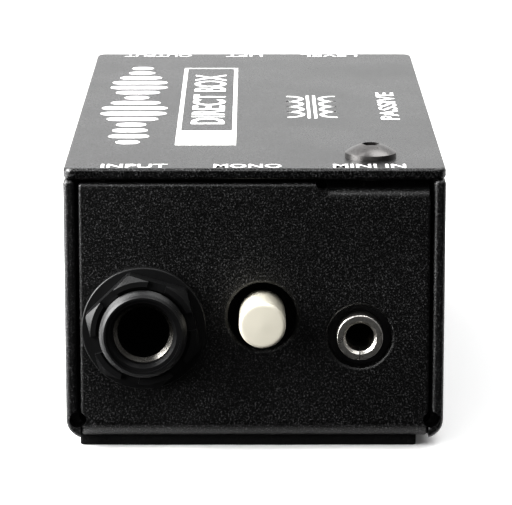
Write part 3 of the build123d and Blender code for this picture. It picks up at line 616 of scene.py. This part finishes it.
def slab(outline: np.ndarray, low: float, high: float) -> Grid:
    """Upright wall round a closed outline, for a thin flat plate.

    Args:
        outline: points of the plan outline, two columns, in metres, anticlockwise from above.
        low: height of the lower face.
        high: height of the upper face.

    Returns:
        Grid of two rows.
    """
    rows = [np.column_stack([outline, np.full(len(outline), level)]) for level in (low, high)]
    return np.array(rows)


def stadium(centre: tuple[float, float], length: float, width: float, along_y: bool, steps: int = 10) -> np.ndarray:
    """Outline of a bar with round ends.

    Args:
        centre: plan position of its middle, in metres.
        length: overall length.
        width: width, which is also the diameter of its ends.
        along_y: whether its length runs along Y.
        steps: points in each round end.

    Returns:
        Points of the outline, anticlockwise.
    """
    half = max(length - width, 0.0) / 2
    turn = np.linspace(-math.pi / 2, math.pi / 2, steps)
    right = np.column_stack([half + width / 2 * np.cos(turn), width / 2 * np.sin(turn)])
    left = -right
    points = np.vstack([right, left])
    if along_y:
        points = np.column_stack([-points[:, 1], points[:, 0]])
    return points + np.array(centre)


def dress(piece: bpy.types.Object, finish: Finish) -> None:
    """Give every face of a piece one finish.

    Args:
        piece: mesh object.
        finish: the finish it wears.
    """
    piece.data.materials.clear()
    piece.data.materials.append(finish.material())


def joined(name: str, pieces: Sequence[bpy.types.Object]) -> bpy.types.Object:
    """Join loose shapes into one mesh piece.

    Args:
        name: the joined piece's name.
        pieces: mesh objects at the origin, which are removed.

    Returns:
        The one object.
    """
    vertices: list[Any] = []
    faces: list[list[int]] = []
    smooth: list[bool] = []
    for piece in pieces:
        start = len(vertices)
        vertices.extend(tuple(piece.matrix_world @ vertex.co) for vertex in piece.data.vertices)
        faces.extend([start + index for index in polygon.vertices] for polygon in piece.data.polygons)
        smooth.extend(polygon.use_smooth for polygon in piece.data.polygons)
    mesh = bpy.data.meshes.new(name)
    mesh.from_pydata(vertices, [], faces)
    mesh.polygons.foreach_set("use_smooth", np.array(smooth, bool))
    mesh.update()
    for piece in pieces:
        bpy.data.objects.remove(piece)
    whole = bpy.data.objects.new(name, mesh)
    bpy.context.scene.collection.objects.link(whole)
    return whole


def settle(piece: bpy.types.Object, body: str) -> bpy.types.Object:
    """Put a finished piece on its body.

    Args:
        piece: finished object at the origin.
        body: CAD body that it moves with.

    Returns:
        The same piece.
    """
    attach(piece, body)
    log.info("%s rides on %s with %d faces", piece.name, body, len(piece.data.polygons))
    return piece


# ------------------------------------------------------------------ the case

@dataclass
class Enclosure:
    """Folded tray, flat cover, its screw and the parts that hold the case together."""

    finishes: dict[str, Finish] = field(default_factory=lambda: {
        "chassis_tray": Finish.CASE,
        "top_cover": Finish.COVER,
        "cover_screw": Finish.SCREW,
        "cover_hook": Finish.ZINC,
        "cover_nut": Finish.ZINC,
        "board_standoffs": Finish.ZINC,
        "board_screws": Finish.ZINC,
    })

    def build(self) -> None:
        """Dress the case's own nodes."""
        dress_nodes(self.finishes)


def dress_nodes(finishes: dict[str, Finish]) -> None:
    """Dress CAD nodes by name.

    Args:
        finishes: finish for each node.
    """
    for node, finish in finishes.items():
        dress(frame["nodes"][node], finish)
        log.info("%s wears %s", node, finish.value.name)


@dataclass
class BasePad:
    """Cut sheet of rubber under the floor, its edge a little uneven from the knife."""

    corner: float = 0.4 * MM
    waviness: float = 0.06 * MM
    waves: tuple[int, int] = (7, 17)
    wave_shift: float = 1.3
    edge_round: float = 0.12 * MM
    middle_inset: float = 8 * MM
    steps_per_side: int = 110
    steps_per_corner: int = 9

    def outline(self, low: Vector, high: Vector, inset: float) -> np.ndarray:
        """Rectangle with small round corners and a slow knife wander.

        Each corner is a quarter circle about the corner of a smaller rectangle, each side runs evenly from one arc to
        the next, and the wander moves a point outwards or inwards by a sum of two sines of its bearing.

        Args:
            low: lowest corner of the pad.
            high: highest corner of the pad.
            inset: distance inside the pad's true edge.

        Returns:
            Points of the outline, anticlockwise.
        """
        half = np.array([(high.x - low.x) / 2, (high.y - low.y) / 2]) - inset - self.waviness
        centre = np.array([(high.x + low.x) / 2, (high.y + low.y) / 2])
        quarter = np.linspace(0, math.pi / 2, self.steps_per_corner)
        bearing = quarter[None, :] + np.arange(-1, 3)[:, None] * math.pi / 2
        signs = np.array([(1, -1), (1, 1), (-1, 1), (-1, -1)])
        arcs = signs[:, None, :] * (half - self.corner) + self.corner * np.stack([np.cos(bearing), np.sin(bearing)], -1)
        share = np.linspace(0, 1, self.steps_per_side, endpoint=False)[None, 1:, None]
        sides = arcs[:, -1:] * (1 - share) + np.roll(arcs, -1, axis=0)[:, :1] * share
        points = np.concatenate([arcs, sides], axis=1).reshape(-1, 2)
        angle = np.arctan2(points[:, 1], points[:, 0])
        slow, fast = self.waves
        wander = self.waviness * (np.sin(slow * angle) + np.sin(fast * angle + self.wave_shift)) / 2
        return centre + points + np.column_stack([np.cos(angle), np.sin(angle)]) * wander[:, None]

    def build(self) -> None:
        """Make the pad as rings from the underside's middle, over its edge, to its top's middle."""
        low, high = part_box("base_pad")
        soft = self.edge_round
        rings = []
        for inset, level in ((self.middle_inset, 0.0), (soft, 0.0), (0.0, soft),
                             (0.0, high.z - soft), (soft, high.z), (self.middle_inset, high.z)):
            outline = self.outline(low, high, inset)
            rings.append(np.column_stack([outline, np.full(len(outline), level)]))
        pad = mesh_from_grid("base_pad_sheet", np.array(rings), True, caps=True)
        dress(pad, Finish.RUBBER)
        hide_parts("base_pad")
        settle(pad, "case")


# ------------------------------------------------------------------ printing on the cover

class Facing(Enum):
    """Side from which a line of print is read."""

    FRONT = 0.0
    REAR = math.pi
    UP_THE_BOX = math.pi / 2


@dataclass(frozen=True)
class Label:
    """One line of print on the cover."""

    name: str
    words: str
    centre: tuple[float, float]
    width: float
    height: float
    facing: Facing = Facing.FRONT
    weight: float = 0.018


@dataclass
class CoverPrinting:
    """White function words and plain graphics, printed flat on the cover."""

    ink: float = 0.02 * MM
    edge_gap: float = 1.75 * MM
    letter_height: float = 2.5 * MM
    letter_steps: int = 6
    bar_count: int = 15
    bar_width: float = 2.7 * MM
    bar_x: float = -16.5 * MM
    bars_along: tuple[float, float] = (18.0 * MM, 78.0 * MM)
    bar_lengths: tuple[float, float] = (3.2 * MM, 6.4 * MM)
    bar_beats: float = 2.6
    bar_arch: float = 0.6
    frame_across: tuple[float, float] = (-10.3 * MM, -2.4 * MM)
    frame_along: tuple[float, float] = (15.9 * MM, 78.3 * MM)
    frame_line: float = 0.55 * MM
    block_length: float = 10.4 * MM
    coil_x: float = 7.9 * MM
    coil_start: float = 36.5 * MM
    coil_loops: int = 4
    coil_radius: float = 2.1 * MM
    coil_offset: float = 3.4 * MM
    coil_line: float = 0.32 * MM
    core_offset: float = 0.45 * MM
    core_line: float = 0.42 * MM
    core_length: float = 2.2

    def place(self) -> tuple[Vector, Vector]:
        """Lowest and highest corners of the cover."""
        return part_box("top_cover")

    def labels(self) -> list[Label]:
        """Function words at the two ends and along the box.

        Returns:
            Labels with their places in the row frame.
        """
        low, high = self.place()
        front = low.y + self.edge_gap
        rear = high.y - self.edge_gap
        tall = self.letter_height
        return [
            Label("print_input", "INPUT", (-15.05 * MM, front), 8.3 * MM, tall),
            Label("print_mono", "MONO", (-0.9 * MM, front), 8.5 * MM, tall),
            Label("print_mini_in", "MINI IN", (14.35 * MM, front), 9.1 * MM, tall),
            Label("print_output", "OUTPUT", (-14.6 * MM, rear), 10.2 * MM, tall, Facing.REAR),
            Label("print_lift", "LIFT", (-1.5 * MM, rear), 5.6 * MM, tall, Facing.REAR),
            Label("print_level", "LEVEL", (11.4 * MM, rear), 8.6 * MM, tall, Facing.REAR),
            Label("print_kind", "DIRECT BOX", (-6.3 * MM, 5.6 * MM), 41.0 * MM, 4.6 * MM, Facing.UP_THE_BOX),
            Label("print_passive", "PASSIVE", (18.4 * MM, -0.6 * MM), 22.0 * MM, 2.6 * MM, Facing.UP_THE_BOX),
        ]

    def letter(self, label: Label) -> bpy.types.Object:
        """Set one label in type and lay it on the cover.

        Args:
            label: what it says, where and how large.

        Returns:
            Mesh piece at the origin.
        """
        curve = bpy.data.curves.new(label.name, "FONT")
        curve.body = label.words
        curve.align_x = "CENTER"
        curve.align_y = "CENTER"
        curve.offset = label.weight
        curve.resolution_u = self.letter_steps
        text = bpy.data.objects.new(label.name + "_type", curve)
        bpy.context.scene.collection.objects.link(text)
        bpy.context.view_layer.update()
        mesh = bpy.data.meshes.new_from_object(text.evaluated_get(bpy.context.evaluated_depsgraph_get()))
        bpy.data.objects.remove(text)
        points = np.empty(len(mesh.vertices) * 3)
        mesh.vertices.foreach_get("co", points)
        points = points.reshape(-1, 3)
        low, high = points.min(0), points.max(0)
        flat = (points - (low + high) / 2) / np.maximum(high - low, 1e-9)
        flat *= np.array([label.width, label.height, 0.0])
        turn = label.facing.value
        spin = np.array([[math.cos(turn), -math.sin(turn)], [math.sin(turn), math.cos(turn)]])
        points[:, :2] = flat[:, :2] @ spin.T + np.array(label.centre)
        points[:, 2] = self.place()[1].z + self.ink
        mesh.vertices.foreach_set("co", points.ravel())
        mesh.update()
        mesh.name = label.name
        piece = bpy.data.objects.new(label.name, mesh)
        bpy.context.scene.collection.objects.link(piece)
        return piece

    def plates(self, name: str, outlines: Sequence[np.ndarray]) -> bpy.types.Object:
        """Thin plates of ink with the given outlines.

        Args:
            name: the piece's name.
            outlines: plan outlines.

        Returns:
            One joined piece.
        """
        top = self.place()[1].z
        parts = [mesh_from_grid(f"{name}_{index}", slab(outline, top, top + self.ink), True, caps=True)
                 for index, outline in enumerate(outlines)]
        whole = joined(name, parts)
        whole.data.polygons.foreach_set("use_smooth", np.zeros(len(whole.data.polygons), bool))
        return whole

    def level_bars(self) -> list[np.ndarray]:
        """Row of heavy round-ended bars, as a plain picture of a signal.

        A bar's length follows the product of a slow arch and a faster sine of its place along the box.

        Returns:
            Outlines of the bars.
        """
        front = self.place()[0].y
        start, end = [front + along for along in self.bars_along]
        places = np.linspace(start, end, self.bar_count)
        share = np.linspace(0, 1, self.bar_count)
        least, swell = self.bar_lengths
        arch = np.sin(math.pi * share) ** self.bar_arch
        lengths = least + swell * arch * np.abs(np.cos(self.bar_beats * math.pi * share))
        return [stadium((self.bar_x, y), length, self.bar_width, False) for y, length in zip(places, lengths)]

    def frame_lines(self) -> list[np.ndarray]:
        """Four lines that frame the words along the box, and a solid block at the near end.

        Returns:
            Outlines of the lines.
        """
        near, far = [self.place()[0].y + along for along in self.frame_along]
        left, right = self.frame_across
        line = self.frame_line
        block = near + self.block_length

        def bar(x_low: float, x_high: float, y_low: float, y_high: float) -> np.ndarray:
            """Plain rectangle."""
            return np.array([(x_low, y_low), (x_high, y_low), (x_high, y_high), (x_low, y_high)])

        return [
            bar(left, right, near, block),
            bar(left, left + line, block, far),
            bar(right - line, right, block, far),
            bar(left + line, right - line, far - line, far),
        ]

    def coil_symbol(self) -> list[np.ndarray]:
        """Circuit symbol of a transformer: two rows of half loops with two core lines between them.

        Each half loop is a ribbon between two half circles.

        Returns:
            Outlines of the loops and lines.
        """
        outlines = []
        start = self.place()[0].y + self.coil_start
        turn = np.linspace(-math.pi / 2, math.pi / 2, 20)
        for side in (-1, 1):
            half_circle = np.column_stack([side * np.cos(turn), np.sin(turn)])
            for step in range(self.coil_loops):
                centre = (self.coil_x - side * self.coil_offset, start + 2 * self.coil_radius * (step + 0.5))
                outer = centre + (self.coil_radius + self.coil_line) * half_circle
                inner = centre + (self.coil_radius - self.coil_line) * half_circle
                ring = np.vstack([outer, inner[::-1]])
                outlines.append(ring if side == 1 else ring[::-1])
        reach = self.coil_loops * self.coil_radius
        for offset in (-self.core_offset, self.core_offset):
            middle = (self.coil_x + offset, start + reach)
            outlines.append(stadium(middle, self.core_length * reach, self.core_line, True))
        return outlines

    def build(self) -> None:
        """Print everything on the cover."""
        pieces = [self.letter(label) for label in self.labels()]
        pieces.append(self.plates("print_bars", self.level_bars()))
        pieces.append(self.plates("print_frame", self.frame_lines()))
        pieces.append(self.plates("print_coil", self.coil_symbol()))
        for piece in pieces:
            dress(piece, Finish.INK)
            settle(piece, "case")


# ------------------------------------------------------------------ connectors and controls

@dataclass
class Jacks:
    """Both quarter-inch jacks and the mini jack."""

    finishes: dict[str, Finish] = field(default_factory=lambda: {
        "input_jack_housing": Finish.JACK_PLASTIC,
        "input_jack_washer": Finish.NUT_PLASTIC,
        "input_jack_nut": Finish.NUT_PLASTIC,
        "input_sleeve_bush": Finish.BUSH,
        "input_tip_contact": Finish.BRONZE,
        "input_ring_contact": Finish.BRONZE,
        "output_jack_housing": Finish.JACK_PLASTIC,
        "output_jack_washer": Finish.NUT_PLASTIC,
        "output_jack_nut": Finish.NUT_PLASTIC,
        "output_sleeve_bush": Finish.BUSH,
        "output_tip_contact": Finish.BRONZE,
        "mini_jack_housing": Finish.INNER_PLASTIC,
        "mini_jack_ferrule": Finish.FERRULE,
        "mini_jack_contacts": Finish.BRONZE,
    })

    def build(self) -> None:
        """Dress the jacks."""
        dress_nodes(self.finishes)


@dataclass
class PushButton:
    """Round cap of one push switch, turned with a faintly crowned face."""

    node: str
    body: str
    outward: Vector
    crown: float = 0.1 * MM
    edge: float = 0.5 * MM
    bore: float = 2.25 * MM
    bore_depth: float = 5.0 * MM
    bore_round: float = 0.1 * MM
    back_round: float = 0.12 * MM
    corner_steps: int = 8
    face_steps: int = 12
    pole_radius: float = 1e-7

    def build(self) -> None:
        """Turn the cap round the button's axis.

        The profile runs from the bore's floor, out over the back rim, along the side and over the crowned face.
        """
        low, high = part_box(self.node)
        radius = (high.x - low.x) / 2
        length = high.y - low.y
        back = Vector(((low.x + high.x) / 2, low.y if self.outward.y > 0 else high.y, (low.z + high.z) / 2))
        corners = [(0.0, self.bore_depth), (self.bore, self.bore_depth), (self.bore, 0.0), (radius, 0.0),
                   (radius, length - self.crown), (0.0, length)]
        radii = [0.0, self.bore_round, self.back_round, self.back_round, self.edge, 0.0]
        profile = rounded_outline(corners, radii, self.corner_steps)
        reach = np.linspace(0, 1, self.face_steps)[1:-1, None]
        face = profile[-2] * (1 - reach) + profile[-1] * reach
        profile = np.vstack([profile[:-1], face, profile[-1:]])
        profile[:, 0] = np.maximum(profile[:, 0], self.pole_radius)
        cap = mesh_from_grid(self.node.replace("_cap", "_moulding"), turned(profile, back, self.outward), True, True)
        dress(cap, Finish.IVORY)
        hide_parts(self.node)
        settle(cap, self.body)


@dataclass
class ReturnSpring:
    """Coil behind a plunger, wound at its full length."""

    node: str
    joint: str
    outward: Vector
    wire: float = 0.2 * MM
    turns: int = 7
    steps_per_turn: int = 36
    steps_around: int = 10

    def coil(self, low: Vector, high: Vector) -> Grid:
        """Round wire carried along a helix about the button's axis.

        The middle line goes round the axis while it advances evenly along it. The wire's skin stands off the middle
        line by the wire's radius, along a mix of the direction away from the axis and the one square to it and to the
        line.

        Args:
            low: lowest corner of the coil's box.
            high: highest corner of the coil's box.

        Returns:
            Grid of points, one row for each step along the wire.
        """
        radius = (high.x - low.x) / 2 - self.wire
        rise = high.y - low.y - 2 * self.wire
        turn = np.linspace(0, math.tau * self.turns, self.turns * self.steps_per_turn + 1)
        around = np.linspace(0, math.tau, self.steps_around, endpoint=False)
        away = np.column_stack([np.cos(turn), np.zeros_like(turn), np.sin(turn)])
        middle = away * radius + np.array([(low.x + high.x) / 2, low.y + self.wire, (low.z + high.z) / 2])
        middle[:, 1] += rise * turn / turn[-1]
        along = np.gradient(middle, axis=0)
        along /= np.linalg.norm(along, axis=1, keepdims=True)
        across = np.cross(along, away)
        skin = away[:, None] * np.cos(around)[None, :, None] + across[:, None] * np.sin(around)[None, :, None]
        return middle[:, None] + self.wire * skin

    def build(self) -> None:
        """Wind the coil at full length and put it on the case; the button's travel is read, but the coil does not
        shorten.
        """
        low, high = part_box(self.node)
        spring = mesh_from_grid(self.node.replace("_spring", "_coil"), self.coil(low, high), True, True)
        dress(spring, Finish.SPRING)
        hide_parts(self.node)
        settle(spring, "case")
        joints = frame["record"]["behaviour"]["joints"]
        travel = next(joint["range_m"][1] for joint in joints if joint["name"] == self.joint)
        1 - travel / (high.y - low.y)
        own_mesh(spring)


@dataclass
class Switches:
    """The two push switches behind their caps."""

    finishes: dict[str, Finish] = field(default_factory=lambda: {
        "mono_switch_housing": Finish.INNER_PLASTIC,
        "mono_switch_leads": Finish.TIN,
        "mono_plunger": Finish.PLUNGER_PLASTIC,
        "lift_switch_housing": Finish.INNER_PLASTIC,
        "lift_switch_leads": Finish.TIN,
        "lift_plunger": Finish.PLUNGER_PLASTIC,
    })

    def build(self) -> None:
        """Dress the switches and turn their caps."""
        dress_nodes(self.finishes)
        PushButton("mono_button_cap", "mono_button", Vector((0, -1, 0))).build()
        PushButton("lift_button_cap", "lift_button", Vector((0, 1, 0))).build()
        ReturnSpring("mono_return_spring", "mono_press", Vector((0, -1, 0))).build()
        ReturnSpring("lift_return_spring", "lift_press", Vector((0, 1, 0))).build()


@dataclass
class LevelControl:
    """Rear level control and its knob."""

    finishes: dict[str, Finish] = field(default_factory=lambda: {
        "level_control_body": Finish.INNER_PLASTIC,
        "level_bushing": Finish.NICKEL,
        "level_washer": Finish.ZINC,
        "level_nut": Finish.NICKEL,
        "level_leads": Finish.TIN,
        "level_track": Finish.TRACK,
        "level_shaft": Finish.ZINC,
        "level_wiper": Finish.BRONZE,
        "level_knob": Finish.KNOB,
        "knob_pointer": Finish.POINTER,
    })

    def build(self) -> None:
        """Dress the control."""
        dress_nodes(self.finishes)


@dataclass
class Electronics:
    """Boards, transformer and small parts inside the case."""

    finishes: dict[str, Finish] = field(default_factory=lambda: {
        "front_board": Finish.BOARD,
        "rear_board": Finish.BOARD,
        "transformer_core": Finish.CORE,
        "transformer_bobbin": Finish.INNER_PLASTIC,
        "transformer_winding": Finish.WINDING,
        "transformer_leads": Finish.TIN,
        "transformer_bracket": Finish.ZINC,
        "resistors": Finish.RESISTOR,
        "film_capacitors": Finish.CAPACITOR,
        "link_wires": Finish.WIRE,
    })

    def build(self) -> None:
        """Dress the inner parts."""
        dress_nodes(self.finishes)


# ------------------------------------------------------------------ studio

@dataclass
class Studio:
    """Pale floor, soft light and the camera."""

    lens: float = 220.0
    eye: tuple[float, float, float] = (-0.33 * MM, -428.0 * MM, 110.5 * MM)
    pitch_down: float = math.radians(12.53)
    turn_right: float = math.radians(0.075)
    sensor_width: float = 36.0
    view_range: tuple[float, float] = (0.01, 50.0)
    floor_low: tuple[float, float] = (-0.6, -0.0473)
    floor_high: tuple[float, float] = (0.6, 0.9)
    floor_level: float = -0.01 * MM
    floor_points: int = 5
    floor_tones: tuple[Colour, Colour] = ((0.9, 0.9, 0.9), (0.93, 0.93, 0.93))
    box_middle: tuple[float, float, float] = (0.0, 0.0, 0.02)
    front_light: float = 0.2
    back_light: float = 0.93
    under_light: float = 0.03
    seen_light: float = 1.05

    def floor(self) -> None:
        """Lay the floor as one flat grid of points just under the pad, from just before the front panel backwards."""
        sides = [np.linspace(low, high, self.floor_points) for low, high in zip(self.floor_low, self.floor_high)]
        across, along = np.meshgrid(*sides)
        points = np.stack([across, along, np.full_like(across, self.floor_level)], axis=-1)
        ground = mesh_from_grid("studio_floor", points, False)
        shader = Shader("pale_floor")
        colour = shader.mix(shader.noise(3.0, 2.0), *self.floor_tones)
        ground.data.materials.append(shader.surface(Base_Color=colour, Roughness=0.9, Specular_IOR_Level=0.1))

    def world(self) -> None:
        """Hang white surroundings: plain white where they are seen, softer where they only light the box.

        Their light rises smoothly from the front of the room to the back, and there is hardly any from below.
        """
        world = bpy.data.worlds.new("white_room")
        world.use_nodes = True
        graph = Graph(world.node_tree)
        way = graph.node("ShaderNodeTexCoord", {}, {}, "Generated")
        back = graph.node("ShaderNodeSeparateXYZ", {}, {0: way}, "Y").ramp(-0.4, 0.75)
        above = graph.node("ShaderNodeSeparateXYZ", {}, {0: way}, "Z").ramp(-0.03, 0.03)
        light = self.front_light + back * (self.back_light - self.front_light)
        light = self.under_light + above * (light - self.under_light)
        seen = graph.node("ShaderNodeLightPath", {}, {}, "Is Camera Ray")
        strength = seen * self.seen_light + (1.0 - seen) * light
        shade = graph.node("ShaderNodeBackground", {}, {"Color": (1.0, 1.0, 1.0), "Strength": strength}, "Background")
        output = graph.tree.nodes.new("ShaderNodeOutputWorld")
        graph.feed(output.inputs["Surface"], shade)
        bpy.context.scene.world = world

    def softbox(self, name: str, place: tuple[float, float, float], aim: tuple[float, float, float],
                size: tuple[float, float], power: float) -> None:
        """Hang one rectangular softbox.

        Args:
            name: the lamp's name.
            place: its position, in metres.
            aim: the point it faces.
            size: width and height.
            power: watts.
        """
        lamp = bpy.data.lights.new(name, "AREA")
        lamp.shape = "RECTANGLE"
        lamp.size, lamp.size_y = size
        lamp.energy = power
        holder = bpy.data.objects.new(name, lamp)
        holder.location = place
        holder.rotation_euler = (Vector(aim) - Vector(place)).to_track_quat("-Z", "Y").to_euler()
        bpy.context.scene.collection.objects.link(holder)

    def camera(self) -> None:
        """Stand the camera in front, looking a little down."""
        data = bpy.data.cameras.new("camera")
        data.lens = self.lens
        data.sensor_width = self.sensor_width
        data.clip_start, data.clip_end = self.view_range
        holder = bpy.data.objects.new("camera", data)
        holder.location = self.eye
        holder.rotation_euler = (math.pi / 2 - self.pitch_down, 0.0, -self.turn_right)
        bpy.context.scene.collection.objects.link(holder)
        bpy.context.scene.camera = holder

    def build(self) -> None:
        """Set up the studio."""
        bpy.context.scene.view_settings.view_transform = "Standard"
        bpy.context.scene.view_settings.look = "High Contrast"
        self.floor()
        self.world()
        self.softbox("key", (-0.45, -0.17, 0.20), self.box_middle, (0.5, 0.5), 5.5)
        self.softbox("front", (0.0, -0.55, 0.60), self.box_middle, (0.5, 0.3), 1.15)
        self.softbox("left_table", (-0.16, -0.06, 0.13), (-0.13, -0.04, 0.0), (0.10, 0.24), 0.45)
        self.softbox("top", (0.36, 0.12, 0.95), self.box_middle, (0.7, 0.7), 4.2)
        self.camera()


def main() -> None:
    """Build the box's looks in order."""
    logging.basicConfig(level=logging.INFO, format="%(name)s: %(message)s")
    makers: list[Any] = [Studio(), Enclosure(), BasePad(), CoverPrinting(), Jacks(), Switches(), LevelControl(),
                         Electronics()]
    for maker in makers:
        maker.build()
        log.info("%s done", type(maker).__name__)


if __name__ == "__main__":
    main()
